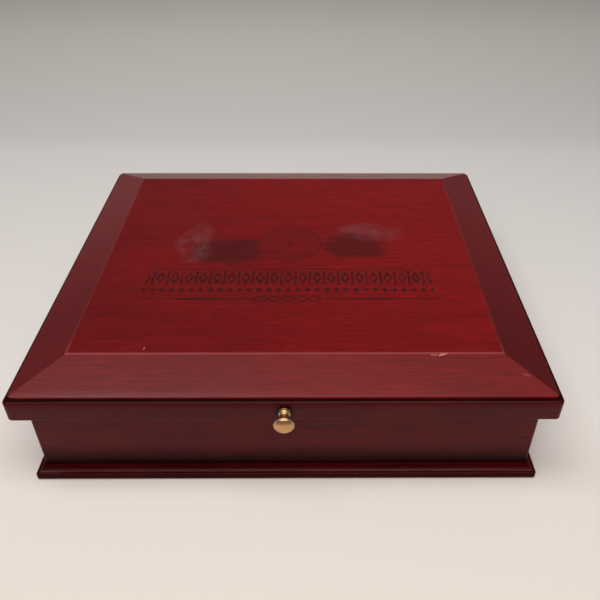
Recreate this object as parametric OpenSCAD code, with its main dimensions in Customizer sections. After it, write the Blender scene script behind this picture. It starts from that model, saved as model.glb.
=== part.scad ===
// Wooden presentation case for a coin collection.
// Mitred case on a moulded plinth, hinged lid with a bevelled board, turned brass knob,
// two brass butt hinges, magnet catches, and two lift-out trays with square pockets.
// Millimetres. X is the width, Y runs from front (-) to back (+), and Z is up.
// The origin is the centre of the underside.

/* [Case] */
// Outside width of the case walls
case_w = 302; // [240:1:420]
// Outside depth of the case walls
case_d = 264; // [200:1:380]
// Height of the case walls
wall_h = 48; // [40:1:90]
// Thickness of the case walls
wall_t = 10; // [8:0.5:14]
// Thickness of the bottom panel
bottom_t = 3; // [2:0.5:6]
// How far the bottom panel is let into each wall
rabbet_d = 5; // [3:0.5:6]
// Radius of the eased upright corners of the case
corner_r = 1.8; // [0.5:0.1:3]

/* [Plinth] */
// Height of the plinth moulding
plinth_h = 8.2; // [7:0.1:12]
// How far the plinth stands out past the walls
plinth_out = 5.5; // [5:0.1:9]
// How far the plinth runs in from the outside of the walls
plinth_in = 14; // [12:0.5:24]
// Thickness of the felt under the plinth
felt_t = 0.8; // [0.5:0.1:2]
// How far the felt is set back from the plinth's edge
felt_inset = 4; // [2:0.5:10]

/* [Lid] */
// How far the lid stands out past the walls on every side
overhang = 8; // [6:0.5:12]
// Height of the lid's rails
rail_h = 14.7; // [12:0.1:24]
// Radius along the top outer edge of the rails
rail_round = 1.5; // [0.5:0.1:2.5]
// Radius along the bottom outer edge of the rails
rail_ease = 1.2; // [0.5:0.1:2]
// Radius of the lid's upright corners
lid_corner_r = 3; // [1:0.1:4]
// How far the board is set back from the outside of the rails
board_inset = 2.7; // [2:0.1:5]
// Height of the board's upright edge
board_edge = 1.8; // [1:0.1:4]
// Rise of the bevel above that edge
bevel_rise = 8.5; // [4:0.5:14]
// Width of the bevel in plan
bevel_w = 27.3; // [15:0.1:50]
// Thickness of the padded lining under the board
lining_t = 5; // [3:0.5:6]
// Gap between the lining and the rails
lining_gap = 0.5; // [0.5:0.5:5]

/* [Hinges] */
// Distance of each hinge's middle from the case's centre line
hinge_x = 92; // [60:1:105]
// Length of each hinge
hinge_len = 32; // [24:1:60]
// Outside radius of the barrel
barrel_r = 2.5; // [2:0.1:3]
// Radius of the pin
pin_r = 1; // [0.8:0.1:1.3]
// How far the pin's axis stands out behind the back wall
axis_out = 1.5; // [1:0.1:2.5]
// Thickness of each leaf
leaf_t = 1.2; // [0.8:0.1:1.6]
// Width of wall left between each leaf and the inside of the case
leaf_land = 1.5; // [1:0.1:3]
// Radius of the hinge screws' shanks
screw_r = 1; // [0.7:0.1:1.2]
// Length of the hinge screws
screw_len = 9; // [6:0.5:11]

/* [Knob] */
// Diameter of the knob's head
knob_d = 12; // [11:0.5:20]
// How far the knob stands out from the lid
knob_out = 12; // [10:0.5:18]
// Radius of the screw that holds the knob
knob_screw_r = 2; // [1.5:0.1:2.2]

/* [Catches] */
// Distance of each magnet from the case's centre line
catch_x = 70; // [20:1:100]
// Radius of the magnets and plates
catch_r = 3; // [2:0.5:3.5]
// Thickness of the magnets
magnet_t = 4; // [2:0.5:6]
// Thickness of the steel plates
plate_t = 1.5; // [1:0.5:3]

/* [Trays] */
// Pockets across the width of the upper tray
upper_columns = 5; // [3:1:7]
// Pockets across the depth of the upper tray
upper_rows = 4; // [2:2:6]
// Compartments across the width of the lower tray
lower_columns = 3; // [2:1:5]
// Compartments across the depth of the lower tray
lower_rows = 2; // [2:2:4]
// Height of one tray
tray_h = 15; // [12:0.5:18]
// Thickness of a tray's floor
tray_floor_t = 3; // [2:0.5:4]
// Thickness of a tray's left and right rims
tray_side_t = 5; // [4:0.5:8]
// Thickness of a tray's front and back rims
tray_end_t = 8; // [5:0.5:12]
// Thickness of the dividers between columns
column_t = 4; // [3:0.5:6]
// Thickness of the dividers between rows
row_t = 8; // [6:0.5:12]
// How far the dividers stop below the rim
divider_drop = 2; // [1.5:0.5:4]
// Gap all round a tray
tray_gap = 0.5; // [0.4:0.1:1.5]
// Width of the lifting ribbons
ribbon_w = 12; // [8:1:20]
// Length of the ribbon tab that lies over the tray
ribbon_tab = 26; // [16:1:40]

/* [Hidden] */
$fn = 64;

// Levels
wall_z = felt_t + plinth_h;
seam_z = wall_z + wall_h;
board_z = seam_z + rail_h;
board_t = board_edge + bevel_rise;
floor_z = wall_z + bottom_t;

// Outlines
lid_w = case_w + 2 * overhang;
lid_d = case_d + 2 * overhang;
inner_w = case_w - 2 * wall_t;
inner_d = case_d - 2 * wall_t;
rail_t = overhang + wall_t;
plinth_w = case_w + 2 * plinth_out;
plinth_d = case_d + 2 * plinth_out;
board_w = lid_w - 2 * board_inset;
board_d = lid_d - 2 * board_inset;

// Trays
floor_lining_t = 1;
tray_drop = 1;
tray_w = inner_w - 2 * tray_gap;
tray_d = inner_d - 2 * tray_gap;
upper_tray_z = seam_z - tray_drop - tray_h;
lower_tray_z = upper_tray_z - tray_h;
runner_t = 8;
divider_h = tray_h - tray_floor_t - divider_drop;
ribbon_t = 0.4;
ribbon_seat = 0.6;
ribbon_play = 0.2;

// Hinges
hinge_y = case_d / 2 + axis_out;
leaf_w = wall_t + axis_out - leaf_land;
leaf_gap = 0.1;
leaf_play = 0.1;
knuckle_gap = 0.2;
pin_play = 0.05;
barrel_play = 0.4;
screw_head_r = 2 * screw_r;
screw_pitch = hinge_len / 2;
screw_set = (leaf_w + axis_out) / 2;

// Knob and its screw
knob_z = seam_z + (rail_h - rail_round + rail_ease) / 2;
knob_bore = 7;
knob_screw_play = 0.25;
knob_screw_head_r = 2 * knob_screw_r;
knob_screw_head_h = 2.6;
knob_screw_sink = 3;

// Corner splines
spline_t = 2.4;
spline_end = 5;
case_spline_w = 0.8 * wall_t;
lid_spline_w = 0.8 * rail_t;

// Recess of the magnets below the walls' top
magnet_sink = 0.2;

cherry = [0.42, 0.07, 0.07];
dark_cherry = [0.27, 0.06, 0.06];
raw_ply = [0.62, 0.47, 0.30];
velvet = [0.05, 0.05, 0.06];
ribbon_black = [0.10, 0.10, 0.11];
brass = [0.75, 0.58, 0.30];
steel = [0.70, 0.70, 0.72];

// Points of a quarter round from angle a0 to a1 about centre c
function arc(c, r, a0, a1, steps = 8) =
  [for (i = [0:steps]) let (a = a0 + (a1 - a0) * i / steps) c + r * [cos(a), sin(a)]];

// Points of a hollow quarter that starts level at p and ends upright, size wide and high
function cove(p, size, steps = 8) =
  [for (i = [0:steps]) let (a = 90 * i / steps) p + [size[0] * sin(a), size[1] * (1 - cos(a))]];

// Outline with eased corners, as an upright prism
module eased_block(w, d, h, r) {
  linear_extrude(h) union() {
    square([w - 2 * r, d], center = true);
    square([w, d - 2 * r], center = true);
    for (x = [-1, 1], y = [-1, 1])
      translate([x * (w / 2 - r), y * (d / 2 - r)]) circle(r);
  }
}

// One side of a mitred frame, lying along the front. Its profile is given as
// [distance in from the outer face, height] and it is cut at 45 degrees at both ends.
module mitred_side(w, d, thick, tall, profile) {
  intersection() {
    translate([-w / 2, -d / 2, 0])
      rotate([90, 0, 90]) linear_extrude(w) polygon(profile);
    linear_extrude(tall)
      polygon([
        [-w / 2, -d / 2], [w / 2, -d / 2],
        [w / 2 - thick, -d / 2 + thick], [-w / 2 + thick, -d / 2 + thick]
      ]);
    eased_block(w, d, tall, corner_r);
  }
}

// The same side placed at the front (0), right (1), back (2) or left (3)
module frame_side(place, w, d, thick, tall, profile) {
  rotate([0, 0, 90 * place])
    mitred_side(place % 2 == 0 ? w : d, place % 2 == 0 ? d : w, thick, tall, profile);
}

// A spline in each mitre of a frame, square across the joint
module corner_splines(w, d, thick, width, z, h) {
  for (x = [-1, 1], y = [-1, 1])
    translate([x * (w - thick) / 2, y * (d - thick) / 2, z])
      rotate([0, 0, -45 * x * y])
        translate([-width / 2, -spline_t / 2, 0]) cube([width, spline_t, h]);
}

module case_splines() {
  corner_splines(case_w, case_d, wall_t, case_spline_w,
    wall_z + bottom_t + spline_end, wall_h - bottom_t - 2 * spline_end);
}

module lid_splines() {
  corner_splines(lid_w, lid_d, rail_t, lid_spline_w,
    seam_z + spline_end, rail_h - 2 * spline_end);
}

module wall(place) {
  shoulder = wall_t - rabbet_d;
  translate([0, 0, wall_z])
    frame_side(place, case_w, case_d, wall_t, wall_h, [
      [0, 0], [shoulder, 0], [shoulder, bottom_t], [wall_t, bottom_t],
      [wall_t, wall_h], [0, wall_h]
    ]);
}

module plinth(place) {
  foot = 0.5;
  nose = 1;
  nose_z = 0.4 * plinth_h;
  cove_size = [2.4, 0.2 * plinth_h];
  step_z = nose_z + nose + cove_size[1];
  step_h = (plinth_h - step_z) / 2;
  depth = plinth_out + plinth_in;
  translate([0, 0, felt_t])
    frame_side(place, plinth_w, plinth_d, depth, plinth_h, concat(
      [[depth, 0]],
      arc([foot, foot], foot, 270, 180),
      arc([nose, nose_z], nose, 180, 90),
      cove([nose, nose_z + nose], cove_size),
      [
        [nose + cove_size[0] + 0.5, step_z],
        [nose + cove_size[0] + 0.5, step_z + step_h],
        [plinth_out - 0.8, step_z + step_h],
        [plinth_out - 0.8, plinth_h],
        [depth, plinth_h]
      ]
    ));
}

// Outer edge of the lid's rails, as points of [distance in from the outside, height]
rail_edge = concat(
  arc([rail_ease, rail_ease], rail_ease, 270, 180),
  arc([rail_round, rail_h - rail_round], rail_round, 180, 90)
);

// The lid's whole outline, solid, rounded along its edges and round its corners
module lid_block() {
  r = lid_corner_r;
  hull()
    for (x = [-1, 1], y = [-1, 1])
      translate([x * (lid_w / 2 - r), y * (lid_d / 2 - r), 0])
        rotate_extrude()
          polygon(concat([[0, 0]], [for (p = rail_edge) [r - p[0], p[1]]], [[0, rail_h]]));
}

module rail(place) {
  w = place % 2 == 0 ? lid_w : lid_d;
  d = place % 2 == 0 ? lid_d : lid_w;
  translate([0, 0, seam_z]) intersection() {
    lid_block();
    rotate([0, 0, 90 * place])
      translate([0, 0, -1]) linear_extrude(rail_h + 2)
        polygon([
          [-w / 2 - 1, -d / 2 - 1], [w / 2 + 1, -d / 2 - 1],
          [w / 2 - rail_t, -d / 2 + rail_t], [-w / 2 + rail_t, -d / 2 + rail_t]
        ]);
  }
}

// Where things repeat on both sides of the centre line
module both_sides(x) {
  for (s = [-1, 1]) translate([s * x, 0, 0]) children();
}

// Screw positions of one hinge, on the leaf's middle line
module screw_places() {
  for (s = [-1, 1]) translate([s * screw_pitch / 2, -screw_set, 0]) children();
}

// A countersunk screw that points down from its flat head
module wood_screw(len) {
  head_h = 0.9 * leaf_t;
  translate([0, 0, -head_h]) cylinder(h = head_h, r1 = screw_r, r2 = screw_head_r);
  translate([0, 0, -len]) cylinder(h = len - head_h, r = screw_r);
}

// The same screw with a cross recess in its head
module crossed_screw(len) {
  reach = 1.3 * screw_r;
  slot = 0.3 * screw_r;
  depth = 0.5 * leaf_t;
  difference() {
    wood_screw(len);
    for (a = [45, 135]) rotate([0, 0, a])
      translate([-reach, -slot, -depth]) cube([2 * reach, 2 * slot, 2 * depth]);
  }
}

// Everything the case side of a hinge takes out of the back wall
module hinge_case_cut() {
  translate([-hinge_len / 2 - leaf_play, -leaf_w - leaf_play, -leaf_t - leaf_gap])
    cube([hinge_len + 2 * leaf_play, leaf_w + 2 * leaf_play, leaf_t + 1]);
  translate([-hinge_len / 2 - leaf_play, 0, 0]) rotate([0, 90, 0])
    cylinder(h = hinge_len + 2 * leaf_play, r = barrel_r + barrel_play);
  screw_places() translate([0, 0, -leaf_gap]) wood_screw(screw_len);
}

// Everything the lid side of a hinge takes out of the back rail
module hinge_lid_cut() {
  mirror([0, 0, 1]) hinge_case_cut();
}

// Leaf on the negative Z side of the pin, with knuckles at the given [start, length]
module hinge_leaf(knuckles, bore_r) {
  difference() {
    union() {
      difference() {
        translate([-hinge_len / 2, -leaf_w, -leaf_t - leaf_gap])
          cube([hinge_len, leaf_w, leaf_t]);
        translate([-hinge_len, -barrel_r - barrel_play, -barrel_r])
          cube([2 * hinge_len, leaf_w, 2 * barrel_r]);
      }
      for (k = knuckles) {
        translate([k[0], -leaf_w + 1, -leaf_t - leaf_gap])
          cube([k[1], leaf_w - 1, leaf_t]);
        translate([k[0], 0, 0]) rotate([0, 90, 0]) cylinder(h = k[1], r = barrel_r);
      }
    }
    translate([-hinge_len, 0, 0]) rotate([0, 90, 0])
      cylinder(h = 2 * hinge_len, r = bore_r);
    screw_places() translate([0, 0, -leaf_gap]) wood_screw(screw_len);
  }
}

module hinge_case_leaf() {
  third = hinge_len / 3;
  hinge_leaf([[-hinge_len / 2, third], [hinge_len / 2 - third, third]], pin_r);
}

module hinge_lid_leaf() {
  third = hinge_len / 3 - 2 * knuckle_gap;
  mirror([0, 0, 1]) hinge_leaf([[-third / 2, third]], pin_r + pin_play);
}

module hinge_pin() {
  rotate([0, 90, 0]) cylinder(h = hinge_len, r = pin_r, center = true);
}

module at_hinges() {
  translate([0, hinge_y, seam_z]) both_sides(hinge_x) children();
}

module at_hinge(side) {
  translate([side * hinge_x, hinge_y, seam_z]) children();
}

// The knob's screw runs along +Y from inside the knob to its head, sunk in the front rail
module knob_screw_shank(r) {
  translate([0, -lid_d / 2 - knob_bore + 0.5, knob_z]) rotate([-90, 0, 0])
    cylinder(h = rail_t - knob_screw_sink + knob_bore - 0.5, r = r);
}

module knob_counterbore() {
  translate([0, -lid_d / 2 + rail_t - knob_screw_sink, knob_z]) rotate([-90, 0, 0])
    cylinder(h = knob_screw_sink + 1, r = knob_screw_head_r + knob_screw_play);
}

module magnet_places(z) {
  translate([0, -(case_d - wall_t) / 2, z]) both_sides(catch_x) children();
}

module front_wall() {
  color(cherry) difference() {
    wall(0);
    case_splines();
    magnet_places(seam_z - magnet_sink - magnet_t)
      cylinder(h = magnet_t + 1, r = catch_r);
  }
}

module right_wall() {
  color(cherry) difference() {
    wall(1);
    case_splines();
  }
}

module back_wall() {
  color(cherry) difference() {
    wall(2);
    case_splines();
    at_hinges() hinge_case_cut();
  }
}

module left_wall() {
  color(cherry) difference() {
    wall(3);
    case_splines();
  }
}

module bottom_panel() {
  color(raw_ply) translate([0, 0, wall_z + bottom_t / 2])
    cube([inner_w + 2 * rabbet_d, inner_d + 2 * rabbet_d, bottom_t], center = true);
}

module base_felt() {
  color(velvet)
    eased_block(plinth_w - 2 * felt_inset, plinth_d - 2 * felt_inset, felt_t, 3);
}

module floor_lining() {
  color(velvet) translate([0, 0, floor_z + floor_lining_t / 2])
    cube([inner_w - 2 * runner_t, inner_d, floor_lining_t], center = true);
}

module tray_runner(side) {
  color(dark_cherry)
    translate([side * (inner_w - runner_t) / 2, 0, (floor_z + lower_tray_z) / 2])
      cube([runner_t, inner_d, lower_tray_z - floor_z], center = true);
}

// Seats that the lifting ribbons lie in, cut from the floor and the side rims
module ribbon_seats() {
  both_sides(tray_w / 2) translate([0, 0, tray_h / 2])
    cube([2 * ribbon_seat, ribbon_w + 2 * ribbon_play, 2 * tray_h], center = true);
  both_sides(tray_w / 2) translate([0, 0, tray_h])
    cube([3 * tray_side_t, ribbon_w + 2 * ribbon_play, 2], center = true);
}

module tray_floor() {
  color(velvet) difference() {
    translate([0, 0, tray_floor_t / 2]) cube([tray_w, tray_d, tray_floor_t], center = true);
    ribbon_seats();
  }
}

module tray_end_rims() {
  h = tray_h - tray_floor_t;
  color(velvet) for (s = [-1, 1])
    translate([0, s * (tray_d - tray_end_t) / 2, tray_floor_t + h / 2])
      cube([tray_w, tray_end_t, h], center = true);
}

module tray_side_rims() {
  h = tray_h - tray_floor_t;
  color(velvet) difference() {
    both_sides((tray_w - tray_side_t) / 2) translate([0, 0, tray_floor_t + h / 2])
      cube([tray_side_t, tray_d - 2 * tray_end_t, h], center = true);
    ribbon_seats();
  }
}

// Upright strips between the columns, and between the rows
module column_strips(columns, z, h) {
  pocket = (tray_w - 2 * tray_side_t - (columns - 1) * column_t) / columns;
  for (i = [1:columns - 1])
    translate([-tray_w / 2 + tray_side_t + i * pocket + (i - 1) * column_t, -tray_d / 2, z])
      cube([column_t, tray_d, h]);
}

module row_strips(rows, z, h) {
  pocket = (tray_d - 2 * tray_end_t - (rows - 1) * row_t) / rows;
  for (i = [1:rows - 1])
    translate([-tray_w / 2, -tray_d / 2 + tray_end_t + i * pocket + (i - 1) * row_t, z])
      cube([tray_w, row_t, h]);
}

module inside_rims() {
  translate([0, 0, tray_h / 2])
    cube([tray_w - 2 * tray_side_t, tray_d - 2 * tray_end_t, 2 * tray_h], center = true);
}

// Dividers between the rows. They are notched from the top for the column dividers.
module tray_row_dividers(columns, rows) {
  color(velvet) difference() {
    intersection() {
      row_strips(rows, tray_floor_t, divider_h);
      inside_rims();
    }
    column_strips(columns, tray_floor_t + divider_h / 2, divider_h);
  }
}

// Dividers between the columns. They are notched from below for the row dividers.
module tray_column_dividers(columns, rows) {
  color(velvet) difference() {
    intersection() {
      column_strips(columns, tray_floor_t, divider_h);
      inside_rims();
    }
    row_strips(rows, tray_floor_t - divider_h / 2, divider_h);
  }
}

// A ribbon glued up each end of the tray, with its tab folded in over the middle divider
module tray_ribbons() {
  top = tray_h - 0.15;
  out = tray_w / 2 - ribbon_seat + ribbon_t;
  color(ribbon_black) for (s = [0, 1]) mirror([s, 0, 0])
    translate([0, ribbon_w / 2, 0]) rotate([90, 0, 0]) linear_extrude(ribbon_w)
      polygon([
        [out, 1], [out, top], [out - ribbon_tab, top], [out - ribbon_tab, top - 2 * ribbon_t],
        [out - ribbon_t, top - 2 * ribbon_t], [out - ribbon_t, 1]
      ]);
}

module in_lower_tray() {
  translate([0, 0, lower_tray_z]) children();
}

module in_upper_tray() {
  translate([0, 0, upper_tray_z]) children();
}

module catch_magnets() {
  color(steel) magnet_places(seam_z - magnet_sink - magnet_t)
    cylinder(h = magnet_t, r = catch_r);
}

module case_hinge_screws() {
  color(brass) at_hinges() screw_places()
    translate([0, 0, -leaf_gap]) crossed_screw(screw_len);
}

module lid_board() {
  color(cherry) translate([0, 0, board_z]) intersection() {
    translate([0, board_d / 2, 0]) rotate([90, 0, 0]) linear_extrude(board_d)
      polygon([
        [-board_w / 2, 0], [board_w / 2, 0], [board_w / 2, board_edge],
        [board_w / 2 - bevel_w, board_t], [-board_w / 2 + bevel_w, board_t],
        [-board_w / 2, board_edge]
      ]);
    translate([-board_w / 2, 0, 0]) rotate([90, 0, 90]) linear_extrude(board_w)
      polygon([
        [-board_d / 2, 0], [board_d / 2, 0], [board_d / 2, board_edge],
        [board_d / 2 - bevel_w, board_t], [-board_d / 2 + bevel_w, board_t],
        [-board_d / 2, board_edge]
      ]);
    eased_block(board_w, board_d, board_t, lid_corner_r);
  }
}

module lid_rail_front() {
  color(cherry) difference() {
    rail(0);
    lid_splines();
    knob_screw_shank(knob_screw_r + knob_screw_play);
    knob_counterbore();
    magnet_places(seam_z - 1) cylinder(h = plate_t + 1, r = catch_r);
  }
}

module lid_rail_right() {
  color(cherry) difference() {
    rail(1);
    lid_splines();
  }
}

module lid_rail_back() {
  color(cherry) difference() {
    rail(2);
    lid_splines();
    at_hinges() hinge_lid_cut();
  }
}

module lid_rail_left() {
  color(cherry) difference() {
    rail(3);
    lid_splines();
  }
}

module lid_lining() {
  color(velvet) translate([0, 0, board_z - lining_t / 2])
    cube([inner_w - 2 * lining_gap, inner_d - 2 * lining_gap, lining_t], center = true);
}

module catch_plates() {
  color(steel) magnet_places(seam_z) cylinder(h = plate_t, r = catch_r);
}

// Turned knob: bead, neck, and a low domed head
module knob() {
  head_r = knob_d / 2;
  head_z = 0.78 * knob_out;
  bead_r = 0.304 * knob_d;
  bead_h = 0.23 * knob_out;
  neck_r = knob_screw_r + 0.5;
  neck_top = 0.42 * knob_out;
  edge = 0.45;
  dome_h = knob_out - head_z - 2 * edge;
  color(brass) translate([0, -lid_d / 2, knob_z]) rotate([90, 0, 0])
    difference() {
      rotate_extrude() polygon(concat(
        [[0, 0], [bead_r - 0.4, 0]],
        arc([bead_r - bead_h / 2, bead_h / 2], bead_h / 2, -60, 60),
        [[neck_r + 0.2, bead_h + 0.2], [neck_r, 0.32 * knob_out], [neck_r, neck_top]],
        [[0.52 * head_r, 0.55 * knob_out], [0.7 * head_r, head_z - 1.3]],
        arc([head_r - edge, head_z + edge], edge, -70, 80, 6),
        [for (i = [1:8]) let (a = 90 * i / 8)
          [(head_r - edge) * cos(a), head_z + 2 * edge + dome_h * sin(a)]]
      ));
      translate([0, 0, -1]) cylinder(h = knob_bore + 1, r = knob_screw_r);
    }
}

module knob_screw() {
  color(steel) {
    knob_screw_shank(knob_screw_r);
    translate([0, -lid_d / 2 + rail_t - knob_screw_sink, knob_z]) rotate([-90, 0, 0])
      difference() {
        union() {
          cylinder(h = knob_screw_head_h - 1, r = knob_screw_head_r);
          translate([0, 0, knob_screw_head_h - 1])
            cylinder(h = 1, r1 = knob_screw_head_r, r2 = knob_screw_head_r - 1);
        }
        for (a = [0, 90]) rotate([0, 0, a])
          translate([-knob_screw_r, -0.45, knob_screw_head_h - 1.2])
            cube([2 * knob_screw_r, 0.9, 2]);
      }
  }
}

module lid_hinge_screws() {
  color(brass) at_hinges() screw_places()
    mirror([0, 0, 1]) translate([0, 0, -leaf_gap]) crossed_screw(screw_len);
}

front_wall();
back_wall();
left_wall();
right_wall();
color(raw_ply) case_splines();  // case_corner_splines
bottom_panel();
color(dark_cherry) plinth(0);  // plinth_front
color(dark_cherry) plinth(1);  // plinth_right
color(dark_cherry) plinth(2);  // plinth_back
color(dark_cherry) plinth(3);  // plinth_left
base_felt();
floor_lining();
tray_runner(-1);  // tray_runner_left
tray_runner(1);  // tray_runner_right
in_lower_tray() tray_floor();  // lower_tray_floor
in_lower_tray() tray_end_rims();  // lower_tray_end_rims
in_lower_tray() tray_side_rims();  // lower_tray_side_rims
in_lower_tray() tray_row_dividers(lower_columns, lower_rows);  // lower_tray_row_divider
in_lower_tray() tray_column_dividers(lower_columns, lower_rows);  // lower_tray_column_dividers
in_lower_tray() tray_ribbons();  // lower_tray_ribbons
in_upper_tray() tray_floor();  // upper_tray_floor
in_upper_tray() tray_end_rims();  // upper_tray_end_rims
in_upper_tray() tray_side_rims();  // upper_tray_side_rims
in_upper_tray() tray_row_dividers(upper_columns, upper_rows);  // upper_tray_row_dividers
in_upper_tray() tray_column_dividers(upper_columns, upper_rows);  // upper_tray_column_dividers
in_upper_tray() tray_ribbons();  // upper_tray_ribbons
catch_magnets();
color(brass) at_hinge(-1) hinge_case_leaf();  // left_hinge_case_leaf
color(brass) at_hinge(-1) hinge_pin();  // left_hinge_pin
color(brass) at_hinge(1) hinge_case_leaf();  // right_hinge_case_leaf
color(brass) at_hinge(1) hinge_pin();  // right_hinge_pin
case_hinge_screws();
lid_board();
lid_rail_front();
lid_rail_back();
lid_rail_left();
lid_rail_right();
color(raw_ply) lid_splines();  // lid_corner_splines
lid_lining();
catch_plates();
knob();
knob_screw();
color(brass) at_hinge(-1) hinge_lid_leaf();  // left_hinge_lid_leaf
color(brass) at_hinge(1) hinge_lid_leaf();  // right_hinge_lid_leaf
lid_hinge_screws();
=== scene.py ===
import math

import bmesh
import bpy
import numpy as np
from bpy.props import (
    FloatProperty,
    FloatVectorProperty,
    IntProperty,
    PointerProperty,
)
from bpy.types import Operator, Panel, PropertyGroup
from mathutils import Matrix, Vector


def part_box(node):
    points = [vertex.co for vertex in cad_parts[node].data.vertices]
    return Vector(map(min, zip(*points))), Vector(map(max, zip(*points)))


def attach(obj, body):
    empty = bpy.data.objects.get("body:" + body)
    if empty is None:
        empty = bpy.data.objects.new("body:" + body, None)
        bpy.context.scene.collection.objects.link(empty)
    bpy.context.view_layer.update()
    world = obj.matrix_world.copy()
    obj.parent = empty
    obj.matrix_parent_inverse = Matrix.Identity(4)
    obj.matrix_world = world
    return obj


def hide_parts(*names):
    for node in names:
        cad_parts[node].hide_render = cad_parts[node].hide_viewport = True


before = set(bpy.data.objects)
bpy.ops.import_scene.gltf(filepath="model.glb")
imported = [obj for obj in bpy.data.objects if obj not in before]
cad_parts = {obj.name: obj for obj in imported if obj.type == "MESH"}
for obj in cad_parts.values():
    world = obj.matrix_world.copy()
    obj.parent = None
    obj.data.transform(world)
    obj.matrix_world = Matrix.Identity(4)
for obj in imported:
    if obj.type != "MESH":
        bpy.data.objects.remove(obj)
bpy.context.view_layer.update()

bl_info = {
    "name": "Wooden Presentation Case",
    "version": (1, 0, 0),
    "blender": (4, 5, 0),
    "location": "View3D > Sidebar > Case",
    "description": "Finishes the pieces of a hinged wooden case for a coin collection",
    "category": "Object",
}

MM = 0.001
BOARD_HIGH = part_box("lid_board")[1]
LINING_LOW, LINING_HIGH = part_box("lid_lining")
KNOB_LOW, KNOB_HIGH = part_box("knob")

# Sizes on the shaders' side are in millimetres.
BEVEL = 27.3
FLAT_X, FLAT_Y = BOARD_HIGH.x * 1000 - BEVEL, BOARD_HIGH.y * 1000 - BEVEL
STRIP = 44.0
KNOB_AXIS = (KNOB_LOW.z + KNOB_HIGH.z) * 500
KNOB_FACE = KNOB_LOW.y * 1000
KNOB_RADIUS = (KNOB_HIGH.z - KNOB_LOW.z) * 500
RAIL_TOP = 71.7
BOARD_EDGE_TOP = 73.8
SHADOW_LINE = (71.9, 72.5)

# How each part is lacquered. tone darkens the board's stain for each part, partly for a
# darker stain and partly as painted shade on the walls, plinth and rails. dulled_and_darkened
# is the height from which the lacquer is full, the one at which it is gone and the colour is
# darkest, and how dark the colour gets there: painted shade on the plinth's lower face and on
# the rails' top under the board, and on the walls just darker towards the bottom.
WALL_LACQUER = {"tone": 0.51, "sheen": 0.045, "coat": 0.21, "dulled_and_darkened": (30.0, 8.5, 0.95)}
PLINTH_LACQUER = {"tone": 0.31, "sheen": 0.03, "coat": 0.20, "dulled_and_darkened": (5.6, 4.4, 0.35)}
RAIL_LACQUER = {"tone": 0.39, "sheen": 0.085, "coat": 0.12, "dulled_and_darkened": (66.0, 70.0, 0.15)}
BOARD_LACQUER = {"tone": 1.0, "sheen": 0.17, "coat": 0.05}

# Each side of the case and of the lid, and the axis that its grain follows.
FOUR_SIDES = (("front", "X"), ("back", "X"), ("left", "Y"), ("right", "Y"))

# The printed border: pitch of its lozenges and beads, how far back each row is, and its reach.
LOZENGE_PITCH, BEAD_PITCH, BRAID_PITCH = 9.7, 6.4667, 9.0
RULE_Y, LOZENGE_Y, BEAD_Y, BRAID_Y = 25.0, 35.3, 49.0, 58.5
BORDER_REACH = 97.0
ROSETTE_Y = 8.0


# ---------------------------------------------------------------- shader expressions


class Wire:
    """One output socket of a shader node, used like a number in an expression."""

    def __init__(self, graph, socket):
        self.graph, self.socket = graph, socket

    def __add__(self, other):
        return self.graph.math("ADD", self, other)

    def __sub__(self, other):
        return self.graph.math("SUBTRACT", self, other)

    def __rsub__(self, other):
        return self.graph.math("SUBTRACT", other, self)

    def __mul__(self, other):
        return self.graph.math("MULTIPLY", self, other)

    def __truediv__(self, other):
        return self.graph.math("DIVIDE", self, other)

    def __pow__(self, other):
        return self.graph.math("POWER", self, other)

    def __abs__(self):
        return self.graph.math("ABSOLUTE", self)

    def __lt__(self, other):
        return self.graph.math("LESS_THAN", self, other)

    def __gt__(self, other):
        return self.graph.math("GREATER_THAN", self, other)

    __radd__ = __add__
    __rmul__ = __mul__


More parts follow.
